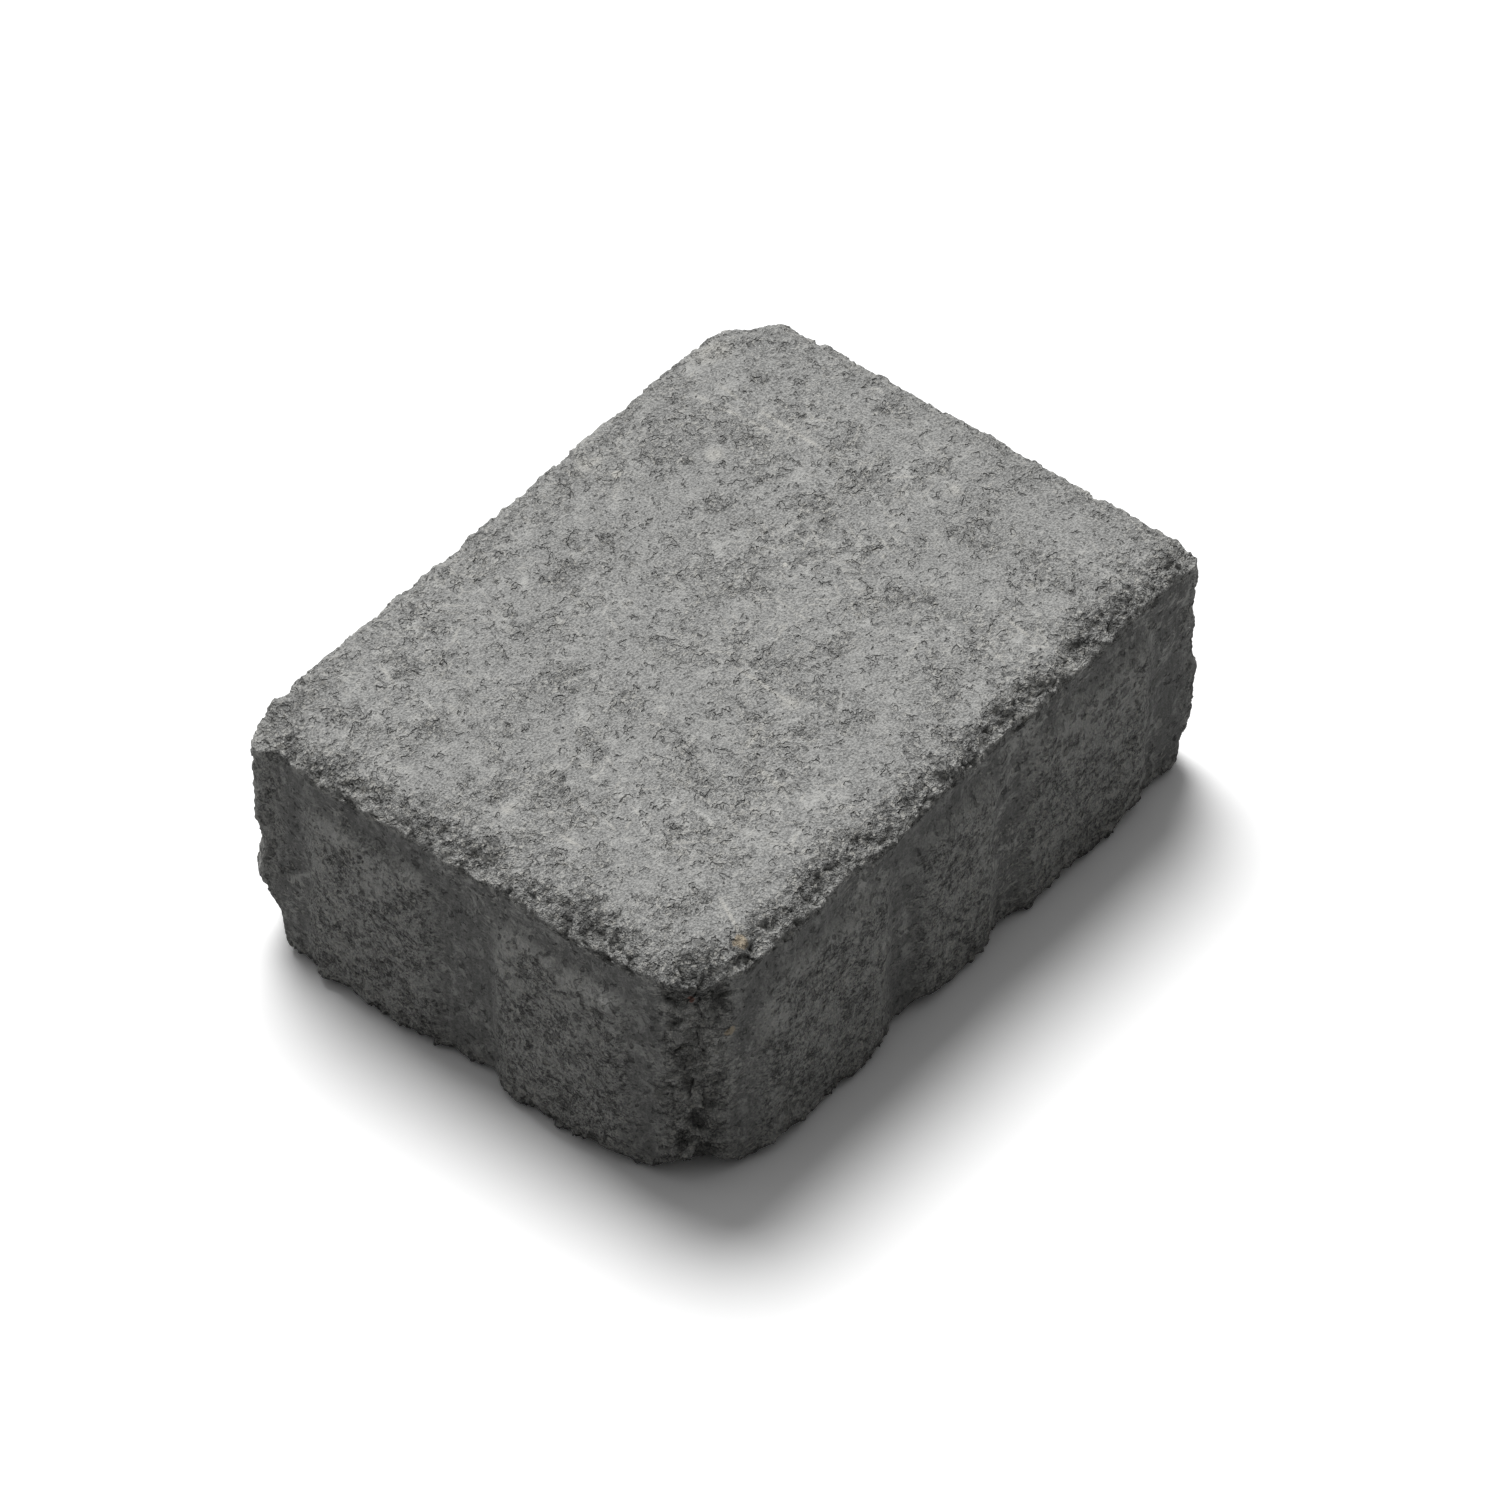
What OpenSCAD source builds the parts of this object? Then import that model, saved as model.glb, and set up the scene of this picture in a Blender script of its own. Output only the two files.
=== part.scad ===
// Tumbled concrete paving stone: one cast block with worn edges, knocked corners and
// spacer pads that set the joint to the next stone. X runs along the stone, Y across it,
// and Z goes up from the middle of the bed face.

/* [Stone] */
// Length over the spacer pads
stone_l = 160; // [120:1:240]
// Width over the spacer pads
stone_w = 120; // [100:1:180]
// Height from the bed face to the walking face
stone_h = 59; // [40:1:100]

/* [Worn corners] */
// Radius of the corner between the right end and the back
far_corner_r = 18; // [9:0.5:22]
// Radius of the corner between the back and the left end
left_corner_r = 7; // [2:0.5:22]
// Radius of the corner between the left end and the front
near_corner_r = 18; // [9:0.5:22]
// Radius of the corner between the front and the right end
right_corner_r = 2; // [1:0.5:22]

/* [Worn edges] */
// How far the top edge is worn in from the side
top_wear_in = 7.5; // [5:0.5:8.5]
// How far the top edge is worn down from the walking face
top_wear_down = 4.5; // [2:0.5:5]
// How far the bottom edge is worn in from the side
bed_wear_in = 3; // [3:0.25:8]
// How far the bottom edge is worn up from the bed face
bed_wear_up = 2.5; // [1:0.25:3]
// Flats that make up the curve of a worn edge
edge_flats = 4; // [3:1:6]

/* [Spacer pads] */
// How far a pad stands out from the side
pad_out = 2; // [1:0.25:4]
// Drop from the walking face to the top of a pad's face
pad_drop = 14; // [11:0.5:18]
// Height of the slope above a pad's face
pad_slope = 4; // [1:0.25:6]
// Run of a pad's flanks along the side
pad_flank = 5; // [1:0.25:6]
// Distance from the end of a side to the middle of its first flank
pad_end = 20.5; // [19:0.5:26]
// Gap between the two pads of a short side
short_gap = 16; // [8:0.5:24]
// Gap between the pads of a long side
long_gap = 10.5; // [7:0.5:14]
// Width of the middle pad of a long side
middle_pad_w = 22; // [14:0.5:26]

/* [Hidden] */
$fn = 64;
concrete = [0.55, 0.55, 0.54];

// Depth behind a side that its worn edges take
edge_root = top_wear_in + 1.5;

// The block behind the pads
block_l = stone_l - 2 * pad_out;
block_w = stone_w - 2 * pad_out;

// Sides are counted round the stone from the right end, and each corner follows its side
right_end = 0;
back = 1;
left_end = 2;
front = 3;
corner_r = [far_corner_r, left_corner_r, near_corner_r, right_corner_r];
function is_end(side) = side % 2 == 0;
function side_out(side) = (is_end(side) ? block_l : block_w) / 2;
function side_half(side) = (is_end(side) ? block_w : block_l) / 2;
function corner_size(side) = max(corner_r[side], edge_root);

// Widths of the pads that fill the sides, and the places of their middles
short_pad_w = (stone_w - 2 * pad_end - short_gap) / 2;
long_pad_w = (stone_l - 2 * pad_end - middle_pad_w - 2 * long_gap) / 2;
short_pad_at = (short_gap + short_pad_w) / 2;
long_pad_at = (middle_pad_w + long_pad_w) / 2 + long_gap;

// Knocks that tumbling has bitten out of the edges, each a shallow scoop:
// [side, share of the half side, 1 for its top edge or 0 for its bottom edge, radius, bite]
edge_knocks = [
    [front, -0.74, 1, 16, 1.2],
    [front, -0.52, 1, 24, 0.8],
    [front, -0.31, 1, 14, 0.9],
    [front, -0.1, 1, 16, 0.9],
    [front, 0.18, 1, 8, 1.5],
    [front, 0.31, 1, 9, 1.3],
    [front, 0.49, 1, 16, 0.8],
    [front, 0.64, 1, 20, 0.8],
    [front, 0.85, 1, 14, 1.2],
    [left_end, -0.78, 1, 14, 0.9],
    [left_end, -0.41, 1, 14, 1.3],
    [left_end, -0.17, 1, 12, 0.7],
    [left_end, 0.03, 1, 13, 1.3],
    [left_end, 0.28, 1, 12, 0.8],
    [left_end, 0.6, 1, 20, 1.5],
    [back, -0.74, 1, 16, 0.9],
    [back, -0.45, 1, 14, 1.1],
    [back, -0.24, 1, 12, 0.6],
    [back, -0.04, 1, 16, 0.9],
    [back, 0.2, 1, 14, 1.4],
    [back, 0.42, 1, 14, 0.8],
    [back, 0.62, 1, 18, 0.7],
    [back, 0.82, 1, 12, 1.0],
    [right_end, -0.52, 1, 13, 0.8],
    [right_end, -0.2, 1, 24, 0.9],
    [right_end, 0.14, 1, 14, 1.0],
    [right_end, 0.46, 1, 16, 1.1],
    [right_end, 0.72, 1, 16, 1.2],
    [front, -0.7, 0, 18, 1.0],
    [front, -0.16, 0, 26, 1.5],
    [front, 0.2, 0, 24, 1.2],
    [front, 0.46, 0, 16, 0.8],
    [front, 0.72, 0, 22, 1.4],
    [left_end, -0.52, 0, 18, 1.0],
    [left_end, 0.05, 0, 24, 0.8],
    [left_end, 0.66, 0, 20, 1.2],
    [back, -0.7, 0, 18, 0.9],
    [back, -0.3, 0, 28, 0.9],
    [back, 0.5, 0, 20, 1.0],
    [right_end, -0.5, 0, 20, 1.2],
    [right_end, 0.3, 0, 24, 1.0]
];

// The same at the corners: [the side before it, share of the height, radius, bite]
corner_knocks = [
    [left_end, 1, 20, 1.8],
    [left_end, 0.72, 15, 1.5],
    [left_end, 0.38, 18, 1.8],
    [left_end, 0, 28, 4.2],
    [front, 0.95, 24, 1.6],
    [front, 0.03, 15, 4.5],
    [back, 1, 16, 2.0],
    [back, 0.83, 9, 1.0],
    [back, 0.43, 26, 1.9],
    [back, 0.01, 30, 6],
    [right_end, 1, 20, 1.6],
    [right_end, 0.55, 24, 1.4],
    [right_end, 0, 20, 2.4]
];

// A worn edge is an arc that leaves the flat face smoothly and meets the side at an angle
function arc_r(wear_in, wear_off) = (wear_in ^ 2 + wear_off ^ 2) / (2 * wear_off);
function arc_angle(wear_in, wear_off) = asin(wear_in / arc_r(wear_in, wear_off));

// Point of a worn edge at a share of its arc: [out from the side, away from the flat face]
function edge_point(wear_in, wear_off, share) =
    let (r = arc_r(wear_in, wear_off), angle = share * arc_angle(wear_in, wear_off))
    [r * sin(angle) - wear_in, r * (1 - cos(angle))];

function worn_edge(wear_in, wear_off) =
    [for (i = [0 : edge_flats]) edge_point(wear_in, wear_off, i / edge_flats)];

// Bottom edge from the bed face out to a side whose face is at x = out
function bed_edge(out) =
    [for (p = worn_edge(bed_wear_in, bed_wear_up)) [p.x + out, p.y]];

// Top edge from that side in to the walking face
function top_edge(out) =
    let (points = worn_edge(top_wear_in, top_wear_down))
    [for (i = [edge_flats : -1 : 0]) [points[i].x + out, stone_h - points[i].y]];

// Section through a side, from its face in to the given depth
module side_section(out, depth) {
    inner = out - depth;
    polygon(concat([[inner, 0]], bed_edge(out), top_edge(out), [[inner, stone_h]]));
}

module side_run(from, to) {
    translate([0, to, 0])
        rotate([90, 0, 0])
            linear_extrude(to - from)
                side_section(0, edge_root);
}

// A round corner turns the side's section, and a sharp one crosses the sections of both sides
module corner(r) {
    if (r < edge_root) sharp_corner(r);
    else rotate_extrude(angle = 90) side_section(r, r);
}

module sharp_corner(r) {
    intersection() {
        translate([edge_root, 0, 0]) side_run(0, edge_root);
        translate([0, edge_root, 0]) rotate(90) side_run(-edge_root, 0);
        linear_extrude(stone_h) {
            square([edge_root - r, edge_root]);
            square([edge_root, edge_root - r]);
            translate([edge_root - r, edge_root - r]) circle(r);
        }
    }
}

// Middle of the block, which the sides and the corners are set round
module middle() {
    linear_extrude(stone_h)
        difference() {
            square([block_l - 2 * edge_root, block_w - 2 * edge_root], center = true);
            for (side = [0 : 3]) rotate(90 * side)
                translate([side_out(side) - corner_size(side), side_half(side) - corner_size(side)])
                    square(corner_size(side));
        }
}

module block() {
    middle();
    for (side = [0 : 3]) rotate(90 * side) {
        from = corner_size((side + 3) % 4) - side_half(side);
        to = side_half(side) - corner_size(side);
        translate([side_out(side), 0, 0]) side_run(from, to);
        translate([side_out(side) - corner_size(side), to, 0]) corner(corner_r[side]);
    }
}

// Section and plan of a pad, both with the block's side at x = 0
module pad_section() {
    face_top = stone_h - pad_drop;
    polygon(concat([[-edge_root, 0]], bed_edge(pad_out), [
        [pad_out, face_top],
        [0, face_top + pad_slope],
        [-edge_root, face_top + pad_slope]
    ]));
}

module pad_plan(width) {
    root = (width + pad_flank) / 2;
    face = (width - pad_flank) / 2;
    polygon([
        [-edge_root, -root], [0, -root], [pad_out, -face],
        [pad_out, face], [0, root], [-edge_root, root]
    ]);
}

module pad(width) {
    intersection() {
        linear_extrude(stone_h) pad_plan(width);
        rotate([90, 0, 0])
            linear_extrude(width + pad_flank, center = true)
                pad_section();
    }
}

module short_side_pads() {
    for (at = [-short_pad_at, short_pad_at])
        translate([0, at, 0]) pad(short_pad_w);
}

module long_side_pads() {
    pad(middle_pad_w);
    for (at = [-long_pad_at, long_pad_at])
        translate([0, at, 0]) pad(long_pad_w);
}

module pads() {
    for (side = [0 : 3]) rotate(90 * side) translate([side_out(side), 0, 0])
        if (is_end(side)) short_side_pads();
        else long_side_pads();
}

// A ball that bites a side's top edge, bottom edge or upright face, with that face at x = 0
module scoop(height, reach, bite) {
    wear = height == 1 ? [top_wear_in, top_wear_down] : [bed_wear_in, bed_wear_up];
    on_edge = height == 0 || height == 1;
    p = on_edge ? edge_point(wear[0], wear[1], 0.5) : [0, 0];
    tilt = on_edge ? 90 - arc_angle(wear[0], wear[1]) / 2 : 0;
    up = height == 1 ? 1 : -1;
    away = reach - bite;
    translate([p.x + away * cos(tilt), 0, height * stone_h - up * (p.y - away * sin(tilt))])
        sphere(reach);
}

module knocks() {
    for (k = edge_knocks) rotate(90 * k[0])
        translate([side_out(k[0]), k[1] * side_half(k[0]), 0])
            scoop(k[2], k[3], k[4]);
    for (k = corner_knocks) rotate(90 * k[0]) {
        r = corner_r[k[0]];
        translate([side_out(k[0]) - r, side_half(k[0]) - r, 0])
            rotate(45) translate([r, 0, 0])
                scoop(k[1], k[2], k[3]);
    }
}

module paving_stone() {
    color(concrete)
        difference() {
            union() {
                block();
                pads();
            }
            knocks();
        }
}

paving_stone();
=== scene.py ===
"""Looks of a tumbled concrete paving stone, built over its solid model.

The stone is one closed mesh. A fine grid is wrapped round the solid's own form (block,
worn edges, spacer pads and knocks), then roughened by noise that is strong on the broken
edges, granular on the pads and slight on the walking face, and reduced to the triangles
that its relief needs. Lengths are in millimetres until the mesh is made.
"""
import math

import bpy
import numpy as np
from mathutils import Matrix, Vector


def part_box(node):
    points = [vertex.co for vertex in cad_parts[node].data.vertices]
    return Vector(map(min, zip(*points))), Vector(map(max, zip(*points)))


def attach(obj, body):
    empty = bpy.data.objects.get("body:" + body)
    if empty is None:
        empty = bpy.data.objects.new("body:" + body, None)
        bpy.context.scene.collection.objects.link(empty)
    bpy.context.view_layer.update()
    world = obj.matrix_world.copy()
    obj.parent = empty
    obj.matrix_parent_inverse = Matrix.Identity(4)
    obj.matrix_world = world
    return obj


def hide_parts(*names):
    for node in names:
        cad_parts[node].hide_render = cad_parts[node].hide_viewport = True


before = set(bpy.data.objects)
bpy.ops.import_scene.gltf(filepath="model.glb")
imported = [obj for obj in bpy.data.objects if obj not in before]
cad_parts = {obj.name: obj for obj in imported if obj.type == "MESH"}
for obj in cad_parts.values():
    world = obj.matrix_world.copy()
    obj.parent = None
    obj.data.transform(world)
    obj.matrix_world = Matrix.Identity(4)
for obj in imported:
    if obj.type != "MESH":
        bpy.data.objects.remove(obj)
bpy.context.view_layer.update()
MM = 0.001

# Form of the stone, with the solid's own sizes
low_corner, high_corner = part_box("paving_stone")
STONE_L, STONE_W, STONE_H = [(high_corner[i] - low_corner[i]) / MM for i in range(3)]
TOP_WEAR = (7.5, 4.5)
BED_WEAR = (3.0, 2.5)
PAD_OUT = 2.0
PAD_DROP = 14.0
PAD_SLOPE = 4.0
PAD_FLANK = 5.0
PAD_END = 20.5
SHORT_GAP = 16.0
LONG_GAP = 10.5
MIDDLE_PAD_W = 22.0
SHORT_PAD_W = (STONE_W - 2 * PAD_END - SHORT_GAP) / 2
LONG_PAD_W = (STONE_L - 2 * PAD_END - MIDDLE_PAD_W - 2 * LONG_GAP) / 2
SHORT_PADS = [(sign * (SHORT_GAP + SHORT_PAD_W) / 2, SHORT_PAD_W) for sign in (-1, 1)]
LONG_PADS = [(0.0, MIDDLE_PAD_W)]
LONG_PADS += [(sign * ((MIDDLE_PAD_W + LONG_PAD_W) / 2 + LONG_GAP), LONG_PAD_W) for sign in (-1, 1)]

# Sides are counted round the stone from the right end, and each corner follows its side
RIGHT_END, BACK, LEFT_END, FRONT = range(4)
HALF_BLOCK = (STONE_L / 2 - PAD_OUT, STONE_W / 2 - PAD_OUT)
CORNER_R = (18.0, 7.0, 18.0, 2.0)

# Knocks on the edges: side, share of the half side, 1 for top or 0 for bottom, radius, bite
EDGE_KNOCKS = [
    (FRONT, -0.74, 1, 16, 1.2), (FRONT, -0.52, 1, 24, 0.8), (FRONT, -0.31, 1, 14, 0.9),
    (FRONT, -0.1, 1, 16, 0.9), (FRONT, 0.18, 1, 8, 1.5), (FRONT, 0.31, 1, 9, 1.3),
    (FRONT, 0.49, 1, 16, 0.8), (FRONT, 0.64, 1, 20, 0.8), (FRONT, 0.85, 1, 14, 1.2),
    (LEFT_END, -0.78, 1, 14, 0.9), (LEFT_END, -0.41, 1, 14, 1.3), (LEFT_END, -0.17, 1, 12, 0.7),
    (LEFT_END, 0.03, 1, 13, 1.3), (LEFT_END, 0.28, 1, 12, 0.8), (LEFT_END, 0.6, 1, 20, 1.5),
    (BACK, -0.74, 1, 16, 0.9), (BACK, -0.45, 1, 14, 1.1), (BACK, -0.24, 1, 12, 0.6),
    (BACK, -0.04, 1, 16, 0.9), (BACK, 0.2, 1, 14, 1.4), (BACK, 0.42, 1, 14, 0.8),
    (BACK, 0.62, 1, 18, 0.7), (BACK, 0.82, 1, 12, 1.0), (RIGHT_END, -0.52, 1, 13, 0.8),
    (RIGHT_END, -0.2, 1, 24, 0.9), (RIGHT_END, 0.14, 1, 14, 1.0), (RIGHT_END, 0.46, 1, 16, 1.1),
    (RIGHT_END, 0.72, 1, 16, 1.2), (FRONT, -0.7, 0, 18, 1.0), (FRONT, -0.16, 0, 26, 1.5),
    (FRONT, 0.2, 0, 24, 1.2), (FRONT, 0.46, 0, 16, 0.8), (FRONT, 0.72, 0, 22, 1.4),
    (LEFT_END, -0.52, 0, 18, 1.0), (LEFT_END, 0.05, 0, 24, 0.8), (LEFT_END, 0.66, 0, 20, 1.2),
    (BACK, -0.7, 0, 18, 0.9), (BACK, -0.3, 0, 28, 0.9), (BACK, 0.5, 0, 20, 1.0),
    (RIGHT_END, -0.5, 0, 20, 1.2), (RIGHT_END, 0.3, 0, 24, 1.0),
]
# Knocks on the corners: the side before it, share of the height, radius, bite
CORNER_KNOCKS = [
    (LEFT_END, 1, 20, 1.8), (LEFT_END, 0.72, 15, 1.5), (LEFT_END, 0.38, 18, 1.8),
    (LEFT_END, 0, 28, 4.2), (FRONT, 0.95, 24, 1.6), (FRONT, 0.03, 15, 4.5),
    (BACK, 1, 16, 2.0), (BACK, 0.83, 9, 1.0), (BACK, 0.43, 26, 1.9), (BACK, 0.01, 30, 6.0),
    (RIGHT_END, 1, 20, 1.6), (RIGHT_END, 0.55, 24, 1.4), (RIGHT_END, 0, 20, 2.4),
]
# Further wear at the tops of the left and right corners, which the solid has less of
CORNER_WEAR = [(BACK, 1, 18, 3.6), (FRONT, 1, 14, 2.4)]

# Mesh: fine grid step, depth of the core that the grid's rays start from, their length,
# halvings that find the surface on them, rays in the turn of an edge, triangles kept
GRID_STEP = 0.45
CORE_DEPTH = 10.0
RAY_LENGTH = 2.2 * CORE_DEPTH
HALVINGS = 18
ARC_STEPS = 20
TRIANGLES = 195000


# Noise

NOISE_GAIN = 1.6
DIRECTION_COUNT = 32
LAST_DIRECTION = np.uint32(DIRECTION_COUNT - 1)
GOLDEN_TURN = 2.399963


def smoothstep(low, high, value):
    t = np.clip((value - low) / (high - low), 0.0, 1.0)
    return t * t * (3 - 2 * t)


def scramble(ix, iy, iz, seed):
    """A well-mixed 32-bit number for each lattice cell."""
    h = ix.astype(np.uint32) * np.uint32(0x9E3779B1)
    h ^= iy.astype(np.uint32) * np.uint32(0x85EBCA77)
    h ^= iz.astype(np.uint32) * np.uint32(0xC2B2AE3D)
    h ^= np.uint32(seed * 0x27D4EB2F & 0xFFFFFFFF)
    for shift, factor in ((15, 0x2C1B3C6D), (12, 0x297A2D39)):
        h ^= h >> np.uint32(shift)
        h *= np.uint32(factor)
    return h ^ (h >> np.uint32(15))


def share(h, byte):
    """A number from 0 to 1 out of a scrambled one. Each byte gives another."""
    return ((h >> np.uint32(8 * byte)) & np.uint32(0xFF)).astype(np.float64) / 255.0


def make_directions():
    """Unit vectors spread evenly over a ball."""
    count = np.arange(DIRECTION_COUNT)
    turn = count * GOLDEN_TURN
    z = 1 - (count + 0.5) / (DIRECTION_COUNT / 2)
    r = np.sqrt(1 - z * z)
    return np.stack([r * np.cos(turn), r * np.sin(turn), z], axis=1)


DIRECTIONS = make_directions()


def noise(p, size, seed):
    """Smooth noise from about -1 to 1, with features of the given size."""
    q = p / size
    cell = np.floor(q).astype(np.int64)
    f = q - cell
    w = f * f * f * (f * (f * 6 - 15) + 10)
    total = np.zeros(len(p))
    for dx in (0, 1):
        wx = w[:, 0] if dx else 1 - w[:, 0]
        for dy in (0, 1):
            wxy = wx * (w[:, 1] if dy else 1 - w[:, 1])
            for dz in (0, 1):
                wxyz = wxy * (w[:, 2] if dz else 1 - w[:, 2])
                h = scramble(cell[:, 0] + dx, cell[:, 1] + dy, cell[:, 2] + dz, seed)
                g = DIRECTIONS[h & LAST_DIRECTION]
                dot = g[:, 0] * (f[:, 0] - dx) + g[:, 1] * (f[:, 1] - dy) + g[:, 2] * (f[:, 2] - dz)
                total += wxyz * dot
    return total * NOISE_GAIN


def fbm(p, size, seed, octaves, gain=0.5):
    """Noise with finer and weaker noise on top of it."""
    total = np.zeros(len(p))
    for i in range(octaves):
        total += gain ** i * noise(p, size / 2 ** i, seed + 17 * i)
    return total


def bend(p, size, amount, seed):
    """The points, pushed about a little, so that what is drawn with them gets crooked edges."""
    return p + amount * np.stack([noise(p, size, seed + axis) for axis in range(3)], axis=1)


def scatter(p, size, seed):
    """Offset from the nearest of many scattered points, in units of size, and that point's number."""
    q = p / size
    cell = np.floor(q).astype(np.int64)
    nearest = np.full(len(p), 9.0)
    offset = np.zeros((len(p), 3))
    number = np.zeros(len(p), dtype=np.uint32)
    for dx in (-1, 0, 1):
        for dy in (-1, 0, 1):
            for dz in (-1, 0, 1):
                c = cell + (dx, dy, dz)
                h = scramble(c[:, 0], c[:, 1], c[:, 2], seed)
                away = q - c - np.stack([share(h, axis) for axis in range(3)], axis=1)
                squared = (away * away).sum(axis=1)
                closer = squared < nearest
                nearest[closer] = squared[closer]
                offset[closer] = away[closer]
                number[closer] = h[closer]
    return offset, number


def domes(p, size, seed, part, least=0.25, most=0.5):
    """Rounded lumps, 0 to 1, on the given part of the scattered points."""
    offset, number = scatter(p, size, seed)
    radius = least + (most - least) * share(number, 1)
    dome = np.clip(1 - (offset * offset).sum(axis=1) / radius ** 2, 0, 1)
    return np.where(share(number, 3) < part, dome * radius / most, 0.0)


def facets(p, size, seed):
    """Broken faces, about -1 to 1: round each scattered point a plane with its own height and tilt."""
    offset, number = scatter(p, size, seed)
    tilt = DIRECTIONS[(number >> np.uint32(11)) & LAST_DIRECTION]
    return share(number, 3) - 0.5 + (offset * tilt).sum(axis=1)


# Form of the stone as a field: below zero inside, zero on its surface

def arc_r(wear):
    """Radius of a worn edge that leaves the flat face smoothly."""
    return (wear[0] ** 2 + wear[1] ** 2) / (2 * wear[1])


def scoop(height, reach, bite):
    """How far out of its side, and how high, the centre of a knock's ball lies."""
    if height not in (0, 1):
        return reach - bite, height * STONE_H
    wear = TOP_WEAR if height else BED_WEAR
    r = arc_r(wear)
    slope = math.asin(wear[0] / r) / 2
    out = r * math.sin(slope) - wear[0] + (reach - bite) * math.sin(slope)
    off = r * (1 - math.cos(slope)) - (reach - bite) * math.cos(slope)
    return out, STONE_H - off if height else off


def turned(side, x, y):
    """A point given in a side's own frame, where it looks out along x."""
    return ((x, y), (-y, x), (-x, -y), (y, -x))[side]


def knock_balls():
    """Centre and radius of each ball that tumbling has bitten out of the stone."""
    balls = []
    for side, along, height, reach, bite in EDGE_KNOCKS:
        out, z = scoop(height, reach, bite)
        x, y = turned(side, HALF_BLOCK[side % 2] + out, along * HALF_BLOCK[(side + 1) % 2])
        balls.append((np.array([x, y, z]), reach))
    for side, height, reach, bite in CORNER_KNOCKS + CORNER_WEAR:
        out, z = scoop(height, reach, bite)
        r = CORNER_R[side]
        step = (r + out) / math.sqrt(2) - r
        x, y = turned(side, HALF_BLOCK[side % 2] + step, HALF_BLOCK[(side + 1) % 2] + step)
        balls.append((np.array([x, y, z]), reach))
    return balls


def by_corner(x, y, values):
    """For each point, the value of the corner that it is nearest to."""
    back = np.where(x > 0, values[RIGHT_END], values[BACK])
    front = np.where(x < 0, values[LEFT_END], values[FRONT])
    return np.where(y > 0, back, front)


def corner_reach(x, y):
    """How far each point lies past the start of its corner's rounding, along both sides."""
    r = by_corner(x, y, CORNER_R)
    return np.abs(x) - HALF_BLOCK[0] + r, np.abs(y) - HALF_BLOCK[1] + r, r


def plan_distance(x, y):
    """Distance out from the block's sides."""
    qx, qy, r = corner_reach(x, y)
    return np.hypot(np.maximum(qx, 0), np.maximum(qy, 0)) + np.minimum(np.maximum(qx, qy), 0) - r


def pad_rise(x, y, z, wobble):
    """How far the pads stand out, from 0 to 1, with edges softened by wear."""
    soft = 0.9
    rise = np.zeros(len(x))
    for along, pads in ((y, SHORT_PADS), (x, LONG_PADS)):
        for middle, width in pads:
            inside = width / 2 - np.abs(along - middle) + wobble
            rise = np.maximum(rise, smoothstep(-PAD_FLANK / 2 - soft, PAD_FLANK / 2 + soft, inside))
    below = STONE_H - PAD_DROP + PAD_SLOPE - z + 0.5 * wobble
    return rise * smoothstep(-soft, PAD_SLOPE + soft, below)


def edge_field(out, depth, wear):
    """Field of a worn edge, from the distance out of the side and the depth below the flat face."""
    r = arc_r(wear)
    past = out + wear[0]
    arc = np.hypot(past, np.maximum(r - depth, 0)) - r
    return np.where(past > 0, arc, -depth)


def stone_field(p, wobble, top_loss, bed_loss, balls):
    """The whole form: sides with pads, both worn edges, and the knocks taken out."""
    x, y, z = p.T
    out = plan_distance(x, y) - PAD_OUT * pad_rise(x, y, z, wobble)
    field = np.maximum(out, edge_field(out, STONE_H - z, TOP_WEAR) + top_loss)
    field = np.maximum(field, edge_field(out, z, BED_WEAR) + bed_loss)
    for centre, reach in balls:
        field = np.maximum(field, reach - np.sqrt(((p - centre) ** 2).sum(axis=1)))
    return field


# Grid that is wrapped round the form

def axis_grid(size):
    """Core coordinate and sideways lean of each grid line along one axis."""
    half = size / 2 - CORE_DEPTH
    flat = np.linspace(-half, half, int(round(2 * half / GRID_STEP)) + 1)
    lean = np.tan(np.linspace(0, math.pi / 4, ARC_STEPS + 1))[1:]
    core = np.concatenate([np.full(ARC_STEPS, -half), flat, np.full(ARC_STEPS, half)])
    leans = np.concatenate([-lean[::-1], np.zeros(len(flat)), lean])
    return core, leans


def wrap_grid():
    """Start points, directions and quads of rays that leave the stone's core in all directions."""
    axes = [axis_grid(size) for size in (STONE_L, STONE_W, STONE_H)]
    counts = [len(core) for core, lean in axes]
    ids = np.full(counts, -1, dtype=np.int64)
    for axis in range(3):
        for end in (0, -1):
            where = [slice(None)] * 3
            where[axis] = end
            ids[tuple(where)] = 0
    corners = np.argwhere(ids == 0)
    ids[tuple(corners.T)] = np.arange(len(corners))
    start = np.stack([axes[i][0][corners[:, i]] for i in range(3)], axis=1)
    start[:, 2] += STONE_H / 2
    lean = np.stack([axes[i][1][corners[:, i]] for i in range(3)], axis=1)
    lean /= np.linalg.norm(lean, axis=1)[:, None]
    quads = []
    for axis in range(3):
        for end in (0, -1):
            sheet = np.moveaxis(ids, axis, 0)[end]
            quad = np.stack([sheet[:-1, :-1], sheet[1:, :-1], sheet[1:, 1:], sheet[:-1, 1:]], axis=-1)
            quad = quad.reshape(-1, 4)
            turned_in = (end == 0) != (axis == 1)
            quads.append(quad[:, ::-1] if turned_in else quad)
    return start, lean, np.concatenate(quads)


def meet_surface(start, lean, field):
    """Where each ray from the core meets the surface, by halving."""
    near = np.zeros(len(start))
    far = np.full(len(start), RAY_LENGTH)
    for step in range(HALVINGS):
        middle = (near + far) / 2
        inside = field(start + middle[:, None] * lean) < 0
        near = np.where(inside, middle, near)
        far = np.where(inside, far, middle)
    return start + near[:, None] * lean


# Relief of the concrete

# How much each corner is broken, and where that starts past the start of its rounding
CORNER_BREAK = (0.5, 0.6, 1.0, 0.6)
CORNER_BREAK_FROM = (0.0, -5.0, 4.5, -5.0)


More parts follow.
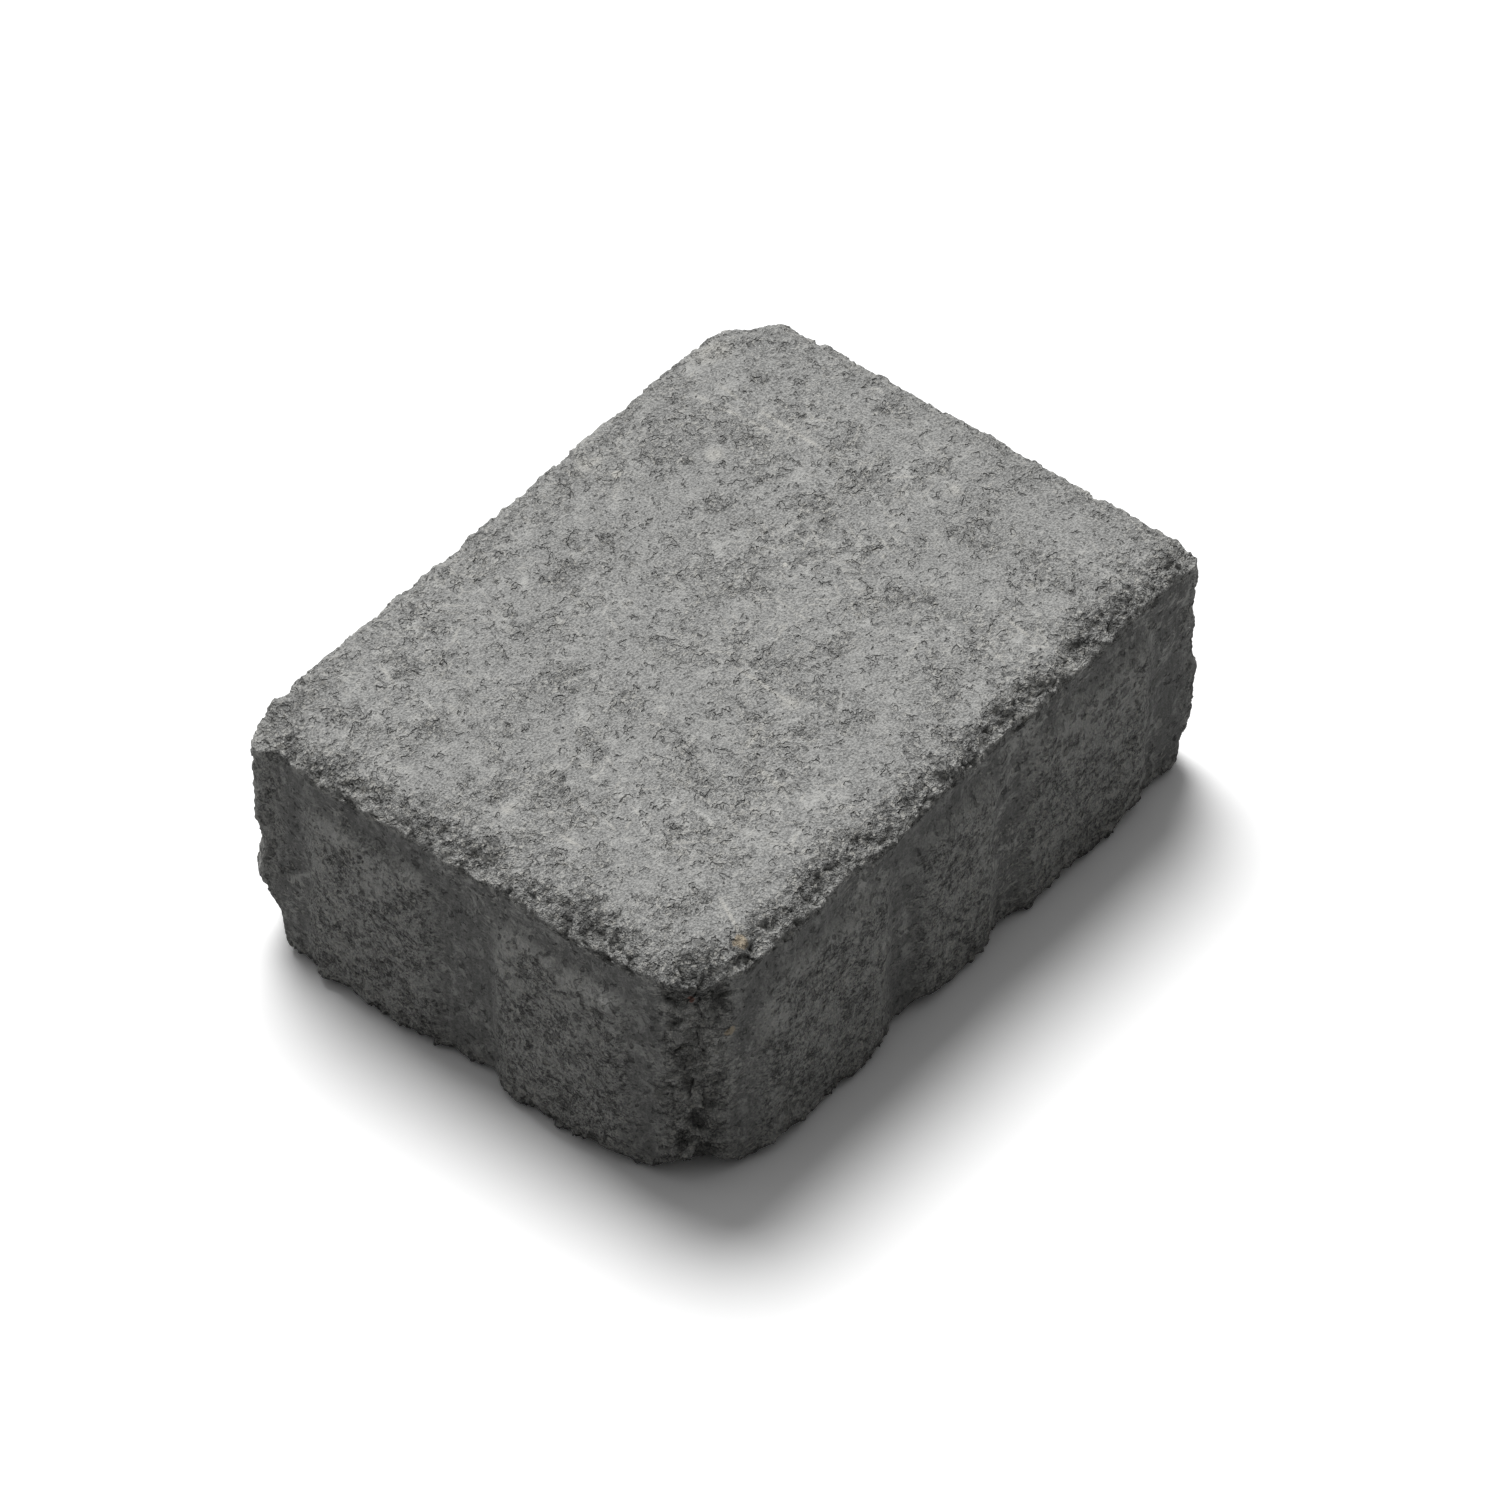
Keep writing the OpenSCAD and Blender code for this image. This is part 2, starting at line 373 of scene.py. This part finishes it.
def broken_share(p):
    """How far each point belongs to the broken edges and corners, and to the corners alone."""
    x, y, z = p.T
    inset = -plan_distance(x, y)
    ragged = fbm(p, 9.0, 301, 3)
    edge = 1 - smoothstep(3.0, 12.0, inset + 4.0 * ragged)
    edge *= 1 - smoothstep(4.4, 5.4, STONE_H - z + ragged)
    bed = 1 - smoothstep(3.0, 7.0, inset)
    bed *= 1 - smoothstep(1.5, 5.0, z + 2.0 * ragged)
    qx, qy, r = corner_reach(x, y)
    start = by_corner(x, y, CORNER_BREAK_FROM)
    corner = smoothstep(0.0, 4.0, np.minimum(qx, qy) - start + 2.0 * ragged)
    corner *= by_corner(x, y, CORNER_BREAK)
    return np.maximum(np.maximum(edge, bed), corner), corner


def crags(p):
    """Broken concrete: angular crumbs and the hollows that lost grains left."""
    crooked = bend(p, 2.6, 0.7, 61)
    lumps = 0.45 * fbm(p, 8.0, 11, 3)
    crumbs = 0.7 * facets(crooked, 3.0, 71) + 0.5 * facets(crooked, 1.6, 97)
    holes = 0.9 * domes(p, 4.2, 131, 0.35)
    return lumps + crumbs - holes - 0.15


def ledges(p):
    """Larger flakes broken off the corners."""
    return 1.3 * facets(bend(p, 5.0, 1.5, 151), 5.0, 157) - 0.2


def face_relief(p, torn):
    """Walking face: a nearly flat skin of paste, and holes torn in it that show the rough inside."""
    swell = 0.12 * noise(p, 30.0, 223) + 0.05 * noise(p, 2.4, 225)
    ragged = fbm(bend(p, 1.8, 0.6, 227), 4.4, 229, 3, 0.6)
    hole = smoothstep(0.18, 0.34, ragged - 0.5 * (1 - torn))
    inside = 0.4 * facets(p, 1.7, 233) - 0.55
    pits = (0.1 + 0.9 * torn) * domes(p, 4.0, 239, 0.35, 0.1, 0.3)
    return swell + hole * inside - 0.8 * pits, hole


def pad_relief(p):
    """Faces of the pads: granular, with open pores."""
    sand = 0.3 * fbm(p, 3.0, 307, 3)
    pores = 0.8 * domes(p, 3.0, 311, 0.5, 0.12, 0.34)
    return sand - pores


def drag_relief(p):
    """Sides between the pads: smooth, with upright drag marks from the mould."""
    return 0.1 * fbm(p * (1.0, 1.0, 0.12), 2.2, 331, 2) + 0.06 * fbm(p, 5.0, 337, 3)


def edge_loss(p, uneven, usual, fade_in, fade_out):
    """How much deeper than its arc an edge is worn. It fades out away from the side."""
    inset = -plan_distance(p[:, 0], p[:, 1])
    return np.maximum(0.0, uneven + usual) * (1 - smoothstep(fade_in, fade_out, inset))


def battered_share(p):
    """How hard the broken edges are hit: fully at the front and left, half at the back and right."""
    across = -p[:, 0] / STONE_L - p[:, 1] / STONE_W
    return 0.5 + 0.5 * smoothstep(-0.2, 0.2, across)


def stone_surface():
    """Points, quads and surface masks of the roughened stone."""
    start, lean, quads = wrap_grid()
    guide = start + CORE_DEPTH * lean
    wobble = 0.9 * fbm(guide, 6.0, 401, 2)
    top_loss = edge_loss(guide, 0.5 * fbm(guide, 14.0, 409, 2), 0.1, 6.0, 14.0)
    bed_loss = edge_loss(guide, 0.8 * fbm(guide, 12.0, 419, 2), 1.1, 5.0, 10.0)
    balls = knock_balls()
    p = meet_surface(start, lean, lambda q: stone_field(q, wobble, top_loss, bed_loss, balls))

    broken, corner = broken_share(p)
    battered = broken * battered_share(p)
    pad = pad_rise(*p.T, wobble)
    top = smoothstep(0.6, 0.9, lean[:, 2])
    bed = smoothstep(0.6, 0.9, -lean[:, 2])
    side = 1 - top - bed
    torn = smoothstep(-0.25, 0.55, fbm(p, 12.0, 211, 4, 0.6))
    face, hole = face_relief(p, torn)
    move = top * face
    move += side * (pad * pad_relief(p) + (1 - pad) * drag_relief(p))
    move += bed * (0.12 * fbm(p, 7.0, 433, 2) - 0.1)
    move = (1 - broken) * move + battered * (crags(p) + corner * ledges(p))
    move = np.where(lean[:, 2] < -0.9, np.minimum(move, 0), move)
    p = p + move[:, None] * lean
    p[:, 2] = np.maximum(p[:, 2], 0)
    rough = top * (0.15 + 0.5 * torn + 0.35 * hole) + side * (0.05 + 0.6 * pad) + 0.5 * bed
    masks = {
        "broken": battered,
        "side": side,
        "hollow": np.clip(-move, 0, 2),
        "rough": (1 - broken) * rough + battered,
    }
    return p, quads, masks


def make_stone():
    """The stone as one object, with its surface masks as attributes of the mesh."""
    points, quads, masks = stone_surface()
    mesh = bpy.data.meshes.new("stone_surface")
    mesh.vertices.add(len(points))
    mesh.vertices.foreach_set("co", (points * MM).ravel())
    mesh.loops.add(quads.size)
    mesh.loops.foreach_set("vertex_index", quads.ravel().astype(np.int32))
    mesh.polygons.add(len(quads))
    mesh.polygons.foreach_set("loop_start", np.arange(0, quads.size, 4, dtype=np.int32))
    mesh.update(calc_edges=True)
    for name, values in masks.items():
        layer = mesh.attributes.new(name, "FLOAT", "POINT")
        layer.data.foreach_set("value", values.astype(np.float32))
    stone = bpy.data.objects.new("stone_surface", mesh)
    bpy.context.scene.collection.objects.link(stone)
    reduce_to(stone, TRIANGLES)
    stone.data.polygons.foreach_set("use_smooth", np.ones(len(stone.data.polygons), dtype=bool))
    return stone


def reduce_to(stone, triangles):
    """Keeps the triangles that the relief needs most."""
    modifier = stone.modifiers.new("reduce", "DECIMATE")
    modifier.ratio = triangles / (2 * len(stone.data.polygons))
    modifier.use_collapse_triangulate = True
    bpy.context.view_layer.objects.active = stone
    bpy.ops.object.modifier_apply(modifier=modifier.name)


# Material

class Nodes:
    """Small helper that adds and links the shader nodes of a material or a world."""

    def __init__(self, owner):
        owner.use_nodes = True
        self.tree = owner.node_tree
        self.tree.nodes.clear()

    def add(self, kind, **settings):
        node = self.tree.nodes.new(kind)
        for name, value in settings.items():
            setattr(node, name, value)
        return node

    def put(self, value, socket):
        if isinstance(value, bpy.types.NodeSocket):
            self.tree.links.new(value, socket)
        else:
            socket.default_value = value

    def math(self, operation, a, b=0.0, c=0.0):
        node = self.add("ShaderNodeMath", operation=operation)
        for value, socket in zip((a, b, c), node.inputs):
            self.put(value, socket)
        return node.outputs[0]

    def attribute(self, name):
        return self.add("ShaderNodeAttribute", attribute_name=name).outputs["Fac"]

    def stretched(self, where, scale, turn=0.0):
        """Coordinates turned about the vertical, then drawn out by the scale along each axis."""
        node = self.add("ShaderNodeMapping", vector_type="TEXTURE")
        self.put(where, node.inputs["Vector"])
        node.inputs["Rotation"].default_value = (0, 0, turn)
        node.inputs["Scale"].default_value = scale
        return node.outputs["Vector"]

    def offset(self, where, point_mm):
        node = self.add("ShaderNodeVectorMath", operation="SUBTRACT")
        self.put(where, node.inputs[0])
        node.inputs[1].default_value = [v * MM for v in point_mm]
        return node.outputs["Vector"]

    def along(self, vector, direction):
        node = self.add("ShaderNodeVectorMath", operation="DOT_PRODUCT")
        self.put(vector, node.inputs[0])
        node.inputs[1].default_value = direction
        return node.outputs["Value"]

    def length(self, vector):
        node = self.add("ShaderNodeVectorMath", operation="LENGTH")
        self.put(vector, node.inputs[0])
        return node.outputs["Value"]

    def noise(self, where, size_mm, detail=2.0, roughness=0.5, distortion=0.0):
        node = self.add("ShaderNodeTexNoise")
        self.put(where, node.inputs["Vector"])
        node.inputs["Scale"].default_value = 1 / (size_mm * MM)
        node.inputs["Detail"].default_value = detail
        node.inputs["Roughness"].default_value = roughness
        node.inputs["Distortion"].default_value = distortion
        return node.outputs["Fac"]

    def product(self, *values):
        result = values[0]
        for value in values[1:]:
            result = self.math("MULTIPLY", result, value)
        return result

    def line(self, value, slope, start):
        """A straight line: the value times the slope, plus the start."""
        return self.math("MULTIPLY_ADD", value, slope, start)

    def cells(self, where, size_mm):
        node = self.add("ShaderNodeTexVoronoi")
        self.put(where, node.inputs["Vector"])
        node.inputs["Scale"].default_value = 1 / (size_mm * MM)
        return node.outputs["Distance"], node.outputs["Color"]

    def ramp(self, value, low, high, to_low=0.0, to_high=1.0):
        node = self.add("ShaderNodeMapRange", interpolation_type="SMOOTHSTEP")
        self.put(value, node.inputs["Value"])
        node.inputs["From Min"].default_value = low
        node.inputs["From Max"].default_value = high
        node.inputs["To Min"].default_value = to_low
        node.inputs["To Max"].default_value = to_high
        return node.outputs["Result"]

    def blend(self, amount, a, b):
        node = self.add("ShaderNodeMix", data_type="FLOAT")
        self.put(amount, node.inputs["Factor"])
        self.put(a, node.inputs["A"])
        self.put(b, node.inputs["B"])
        return node.outputs["Result"]

    def tint(self, amount, a, b):
        node = self.add("ShaderNodeMix", data_type="RGBA")
        self.put(amount, node.inputs[0])
        self.put(a, node.inputs[6])
        self.put(b, node.inputs[7])
        return node.outputs[2]


DARK_GRAIN = (0.09, 0.09, 0.088, 1)
DARK_PASTE = (0.21, 0.211, 0.206, 1)
LIGHT_PASTE = (0.46, 0.461, 0.449, 1)
# Pale dust and wear, and also the painted highlight on crumbs that face up.
PALE_DUST_AND_HIGHLIGHT = (0.56, 0.56, 0.54, 1)
SMOOTH_PASTE = (0.14, 0.141, 0.137, 1)
# Painted shade: the dark colour put in pits, holes, hollows and under crumbs.
PAINTED_SHADE = (0.05, 0.05, 0.048, 1)
PALE_GRAIN = (0.6, 0.59, 0.55, 1)
BEIGE = (0.5, 0.43, 0.33, 1)
RUST = (0.3, 0.17, 0.14, 1)

# Pale streaks on the walking face: start, end and half width in millimetres
STREAKS = [
    ((46.5, 48), (48.5, 25), 0.7), ((52, 48), (50.5, 9), 0.8), ((-6, -5), (-7, -24), 0.7),
    ((-61, -9), (-61, -17), 0.7), ((37, -39), (35.5, -49), 0.6), ((13, -1), (12, -13), 0.5),
    ((-24, -22.5), (-13, -21.5), 0.9), ((-24, -27), (-25.5, -35), 1.0), ((-53, -41), (-60, -54), 0.6),
]
# Pale patches on it: place and radius
PATCHES = [
    ((-7, -22), 2.8), ((58, -10), 2.6), ((59, 52), 6.0),
    ((-62, 2), 2.2), ((36, 32), 3.0), ((19, 50), 4.0),
]
# Single grains that catch the eye: place, radius, colour
GRAINS = [
    ((19.8, 43.8, 59), 1.2, PALE_GRAIN), ((21, 2.3, 58.5), 0.9, PALE_GRAIN),
    ((-59.6, -52.8, 57.7), 1.8, BEIGE), ((-66.1, -55.5, 40.4), 1.5, BEIGE),
    ((-72.4, -51.3, 51.5), 0.9, RUST), ((-71, -51.8, 32.2), 0.7, PALE_GRAIN),
]


def streak_mask(n, where, start, end, half_width):
    """1 on a streak that runs between two points of the walking face."""
    length = math.dist(start, end)
    dx = (end[0] - start[0]) / length
    dy = (end[1] - start[1]) / length
    away = n.offset(where, (start[0], start[1], 0))
    beside = n.math("ABSOLUTE", n.along(away, (-dy, dx, 0)))
    from_middle = n.math("SUBTRACT", n.along(away, (dx, dy, 0)), length * MM / 2)
    run = n.ramp(n.math("ABSOLUTE", from_middle), length * MM / 2, length * MM / 4)
    return n.product(n.ramp(beside, half_width * MM, 0.2 * half_width * MM), run)


def wear_marks(n, where, smear):
    """Pale streaks and patches that wear has left on the walking face, broken up by the smears."""
    marks = 0.0
    for start, end, half_width in STREAKS:
        marks = n.math("MAXIMUM", marks, streak_mask(n, where, start, end, half_width))
    for place, radius in PATCHES:
        away = n.length(n.offset(where, (place[0], place[1], STONE_H)))
        marks = n.math("MAXIMUM", marks, n.ramp(away, radius * MM, 0.2 * radius * MM))
    on_top = n.ramp(n.along(where, (0, 0, 1)), (STONE_H - 8) * MM, (STONE_H - 4) * MM)
    return n.product(marks, on_top, n.ramp(smear, 0.38, 0.56))


def scratch_marks(n, where, cloud):
    """Fine pale scratches in several directions."""
    marks = 0.0
    for turn in (15, 70, 130):
        lane = n.stretched(where, (7.0, 1.0, 1.0), math.radians(turn))
        marks = n.math("MAXIMUM", marks, n.ramp(n.noise(lane, 0.9, 1.0), 0.64, 0.74))
    return n.product(marks, n.ramp(cloud, 0.4, 0.6))


class Concrete:
    """Masks and noises of the concrete, and the colour and relief that are made from them."""

    def __init__(self, n):
        self.n = n
        where = n.add("ShaderNodeTexCoord").outputs["Object"]
        self.where = where
        self.broken = n.attribute("broken")
        self.rough = n.attribute("rough")
        self.hollow = n.attribute("hollow")
        self.side = n.attribute("side")
        self.pitted = n.math("MAXIMUM", self.side, self.broken)
        self.rough_side = n.product(self.side, self.rough)
        self.patch = n.noise(where, 8.0, 4.0, 0.6)
        self.sand = n.noise(where, 0.45, 2.0, 0.6)
        self.grit = n.noise(where, 1.5, 3.0, 0.65)
        self.cloud = n.noise(where, 24.0, 3.0)
        self.smear = n.noise(where, 4.5, 6.0, 0.8, 0.6)
        tear = self.low(n.noise(where, 2.2, 5.0, 0.7), 0.08, 0.36, 0.34)
        pit = self.low(n.noise(where, 2.0, 2.5, 0.55, 0.4), 0.1, 0.37, 0.3)
        self.gap = n.math("MAXIMUM", tear, pit)
        self.nick = self.low(n.noise(where, 1.0, 2.0, 0.5), 0.08, 0.33, 0.29)

    def low(self, noise, spread, rim, bottom):
        """1 in the low places of a noise, which are wider where the stone is rough."""
        return self.n.ramp(self.n.line(self.rough, -spread, noise), rim, bottom)

    def paste(self):
        """Sand and paste: sandy on the pads, smooth and dark between them."""
        n = self.n
        colour = n.tint(n.ramp(self.sand, 0.32, 0.68), DARK_PASTE, LIGHT_PASTE)
        sandy = n.tint(n.ramp(self.sand, 0.4, 0.6), DARK_GRAIN, PALE_DUST_AND_HIGHLIGHT)
        colour = n.tint(n.product(self.rough_side, 0.9), colour, sandy)
        smooth_side = n.math("SUBTRACT", self.side, self.rough_side)
        drag = n.noise(n.stretched(self.where, (1.0, 1.0, 5.0)), 1.2, 2.0)
        smooth = n.product(smooth_side, n.ramp(drag, 0.7, 0.3, 0.65, 0.95))
        return n.tint(smooth, colour, SMOOTH_PASTE)

    def dusted(self, colour):
        """Pale dust in smears, and pale worn patches on the pads, made lighter high up as painted
        light from above.
        """
        n = self.n
        dusty = n.product(n.ramp(self.smear, 0.5, 0.63), n.ramp(self.cloud, 0.35, 0.65, 0.35, 0.85))
        colour = n.tint(dusty, colour, PALE_DUST_AND_HIGHLIGHT)
        # The pads' worn patches are paler high up: painted light from above.
        painted_light_high_up = n.ramp(n.along(self.where, (0, 0, 1)), 28 * MM, 44 * MM, 0.5, 1.0)
        worn_and_lit_pad = n.product(self.rough_side, n.ramp(self.patch, 0.42, 0.62), painted_light_high_up)
        return n.tint(worn_and_lit_pad, colour, PALE_DUST_AND_HIGHLIGHT)

    def spotted(self, colour):
        """Light spots, pale flecks, and painted shade: dark spots in clusters in the low places of the
        grit relief, and in the small holes.
        """
        n = self.n
        light_spot = n.product(n.ramp(self.grit, 0.54, 0.68), n.line(self.rough, 0.6, 0.1))
        colour = n.tint(light_spot, colour, PALE_DUST_AND_HIGHLIGHT)
        fleck = n.product(n.ramp(n.noise(self.where, 0.9, 2.0, 0.6), 0.56, 0.64), self.rough)
        colour = n.tint(n.product(fleck, 0.9), colour, PALE_GRAIN)
        clustered = n.ramp(self.patch, 0.6, 0.44, 0.15, 1.0)
        # Painted shade in the low places of the grit relief, where the bump makes its pits.
        painted_pit_shade = n.product(self.low(self.grit, 0.1, 0.4, 0.3), clustered)
        whole_side = n.product(self.side, n.line(self.broken, -1.0, 1.0))
        colour = n.tint(n.product(painted_pit_shade, n.line(whole_side, 0.6, 0.15)), colour, PAINTED_SHADE)
        # Painted shade in the small holes of the relief.
        hole = n.math("MAXIMUM", self.gap, self.nick)
        return n.tint(n.product(hole, n.line(self.pitted, 0.4, 0.05)), colour, PAINTED_SHADE)

    def painted_ledge_light(self, colour):
        """Painted highlight on the crumbs of the sides that look up, and painted shade on those that
        look down, as if lit from above.
        """
        n = self.n
        facing_up = n.along(n.add("ShaderNodeNewGeometry").outputs["Normal"], (0, 0, 1))
        # Painted highlight: crumbs that face up are made paler, as if lit from above.
        painted_highlight = n.product(self.rough_side, n.ramp(facing_up, 0.05, 0.35), 0.6)
        colour = n.tint(painted_highlight, colour, PALE_DUST_AND_HIGHLIGHT)
        # Painted shade: crumbs that face down are made darker.
        painted_underside_shade = n.product(self.rough_side, n.ramp(facing_up, -0.05, -0.35), 0.7)
        return n.tint(painted_underside_shade, colour, PAINTED_SHADE)

    def grained(self, colour):
        """Pale grains in the rough parts, and painted shade in the deeper hollows."""
        n = self.n
        grain_away, grain_pick = n.cells(self.where, 1.5)
        picked = n.ramp(n.line(self.broken, 0.08, grain_pick), 0.72, 0.74)
        grain = n.product(n.ramp(grain_away, 0.4, 0.3), picked)
        colour = n.tint(n.product(grain, n.line(self.rough, 0.7, -0.05)), colour, PALE_GRAIN)
        # Painted shade, darkest in the deepest hollows of the mesh.
        shade = n.product(n.ramp(self.hollow, 0.3, 1.2, 0.0, 0.7), n.line(self.pitted, 0.85, 0.1))
        return n.tint(shade, colour, PAINTED_SHADE)

    def marked(self, colour):
        """Scratches, streaks and patches of wear, and the single grains."""
        n = self.n
        scratches = n.product(scratch_marks(n, self.where, self.cloud), 0.7)
        marks = n.math("MAXIMUM", wear_marks(n, self.where, self.smear), scratches)
        colour = n.tint(n.product(marks, 0.75), colour, PALE_GRAIN)
        for place, radius, grain_colour in GRAINS:
            away = n.line(self.grit, radius * MM, n.length(n.offset(self.where, place)))
            colour = n.tint(n.ramp(away, 1.5 * radius * MM, 1.2 * radius * MM), colour, grain_colour)
        return colour

    def height(self):
        """Fine relief in millimetres: sand, grit and the small holes."""
        n = self.n
        sand = n.product(self.sand, n.line(self.rough, 0.5, 0.28))
        height = n.math("ADD", sand, n.product(self.grit, n.line(self.rough, 1.1, 0.1)))
        height = n.math("ADD", height, n.product(self.grit, self.broken, 1.3))
        hole = n.math("MAXIMUM", n.product(self.gap, 0.9), n.product(self.nick, 0.5))
        return n.math("SUBTRACT", height, hole)


def concrete_material():
    material = bpy.data.materials.new("tumbled_concrete")
    n = Nodes(material)
    concrete = Concrete(n)
    colour = concrete.dusted(concrete.paste())
    colour = concrete.painted_ledge_light(concrete.spotted(colour))
    colour = concrete.marked(concrete.grained(colour))
    bump = n.add("ShaderNodeBump")
    bump.inputs["Strength"].default_value = 1.0
    bump.inputs["Distance"].default_value = MM
    n.put(concrete.height(), bump.inputs["Height"])

    shader = n.add("ShaderNodeBsdfPrincipled")
    n.put(colour, shader.inputs["Base Color"])
    shader.inputs["Roughness"].default_value = 0.95
    shader.inputs["Specular IOR Level"].default_value = 0.2
    n.put(bump.outputs["Normal"], shader.inputs["Normal"])
    output = n.add("ShaderNodeOutputMaterial")
    n.put(shader.outputs["BSDF"], output.inputs["Surface"])
    return material


# Studio

# Floor: half its side in metres, its colour to the camera and to light that bounces off it
FLOOR_HALF = 4.0
FLOOR_SEEN = (1.24, 1.24, 1.24, 1)
FLOOR_BOUNCE = (0.43, 0.43, 0.43, 1)
# Sky: its strength overhead, the share of it at the horizon, how much it leans to the key light
WHITE = (1, 1, 1, 1)
SKY_LEVEL = 0.28
SKY_AT_HORIZON = 0.1
SKY_LEAN = 0.85
# Key light: light that it gives a level floor, its direction and its width as seen from the stone
KEY_LEVEL = 0.76
KEY_AZIMUTH = math.radians(148)
KEY_ELEVATION = math.radians(62)
KEY_SPREAD = math.radians(31)
KEY_DISTANCE = 2.0


def seen_directly(n):
    """1 for what the camera sees, directly or mirrored, and 0 for light that bounces."""
    path = n.add("ShaderNodeLightPath")
    seen = n.math("MAXIMUM", path.outputs["Is Camera Ray"], path.outputs["Is Glossy Ray"])
    return n.math("MAXIMUM", seen, path.outputs["Is Transmission Ray"])


def floor_material():
    """White to the camera, with the shadow on it, and darker to the light that bounces off it."""
    material = bpy.data.materials.new("studio_floor")
    n = Nodes(material)
    shader = n.add("ShaderNodeBsdfDiffuse")
    n.put(n.tint(seen_directly(n), FLOOR_BOUNCE, FLOOR_SEEN), shader.inputs["Color"])
    output = n.add("ShaderNodeOutputMaterial")
    n.put(shader.outputs["BSDF"], output.inputs["Surface"])
    return material


def make_floor():
    mesh = bpy.data.meshes.new("studio_floor")
    corners = [(x * FLOOR_HALF, y * FLOOR_HALF, 0) for x, y in ((-1, -1), (1, -1), (1, 1), (-1, 1))]
    mesh.from_pydata(corners, [], [(0, 1, 2, 3)])
    mesh.materials.append(floor_material())
    floor = bpy.data.objects.new("studio_floor", mesh)
    bpy.context.scene.collection.objects.link(floor)
    return floor


def make_world():
    """A dim sky, darker at the horizon and away from the key light, that the camera sees as white."""
    world = bpy.data.worlds.new("studio")
    n = Nodes(world)
    direction = n.add("ShaderNodeTexCoord").outputs["Generated"]
    glow = n.ramp(n.along(direction, (0, 0, 1)), 0.1, 0.7, SKY_AT_HORIZON * SKY_LEVEL, SKY_LEVEL)
    to_key = n.along(direction, (math.sin(KEY_AZIMUTH), -math.cos(KEY_AZIMUTH), 0))
    glow = n.product(glow, n.line(to_key, SKY_LEAN, 1.0))
    background = n.add("ShaderNodeBackground")
    background.inputs["Color"].default_value = WHITE
    n.put(n.blend(seen_directly(n), glow, 1.0), background.inputs["Strength"])
    output = n.add("ShaderNodeOutputWorld")
    n.put(background.outputs["Background"], output.inputs["Surface"])
    bpy.context.scene.world = world


def around(azimuth, elevation, distance, target):
    """Point at a distance from the target, seen from an azimuth and an elevation."""
    flat = math.cos(elevation)
    return target + distance * np.array([
        math.sin(azimuth) * flat, -math.cos(azimuth) * flat, math.sin(elevation)])


def aim(thing, target):
    """Turns a camera or lamp to look at a point."""
    direction = target - np.array(thing.location)
    flat = math.hypot(direction[0], direction[1])
    tilt = math.atan2(flat, -direction[2])
    turn = math.atan2(-direction[0], direction[1])
    thing.rotation_euler = (tilt, 0, turn)


def make_key_light():
    """A wide lamp behind the stone, so far away that it lights the floor evenly."""
    data = bpy.data.lights.new("key_light", "SUN")
    data.angle = KEY_SPREAD
    data.energy = math.pi * KEY_LEVEL / math.sin(KEY_ELEVATION)
    lamp = bpy.data.objects.new("key_light", data)
    bpy.context.scene.collection.objects.link(lamp)
    lamp.location = around(KEY_AZIMUTH, KEY_ELEVATION, KEY_DISTANCE, np.zeros(3))
    aim(lamp, np.zeros(3))


# Camera: distances in metres, its focal length in pixels of the photo
CAMERA_AZIMUTH = math.radians(-50.72)
CAMERA_ELEVATION = math.radians(46.5)
CAMERA_DISTANCE = 1.5779
CAMERA_TARGET = np.array([1.6, -4.95, 27.7]) * MM
CAMERA_CLIP_END = 20
SENSOR_MM = 36.0
FOCAL_PIXELS = 8091
FRAME_PIXELS = 1500


def make_camera():
    data = bpy.data.cameras.new("camera")
    data.sensor_width = SENSOR_MM
    data.lens = SENSOR_MM * FOCAL_PIXELS / FRAME_PIXELS
    data.clip_end = CAMERA_CLIP_END
    camera = bpy.data.objects.new("camera", data)
    bpy.context.scene.collection.objects.link(camera)
    camera.location = around(CAMERA_AZIMUTH, CAMERA_ELEVATION, CAMERA_DISTANCE, CAMERA_TARGET)
    aim(camera, CAMERA_TARGET)
    bpy.context.scene.camera = camera


bpy.context.scene.view_settings.view_transform = "Standard"
make_camera()
make_world()
make_key_light()
stone = make_stone()
stone.data.materials.append(concrete_material())
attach(stone, "root")
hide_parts("paving_stone")
make_floor()
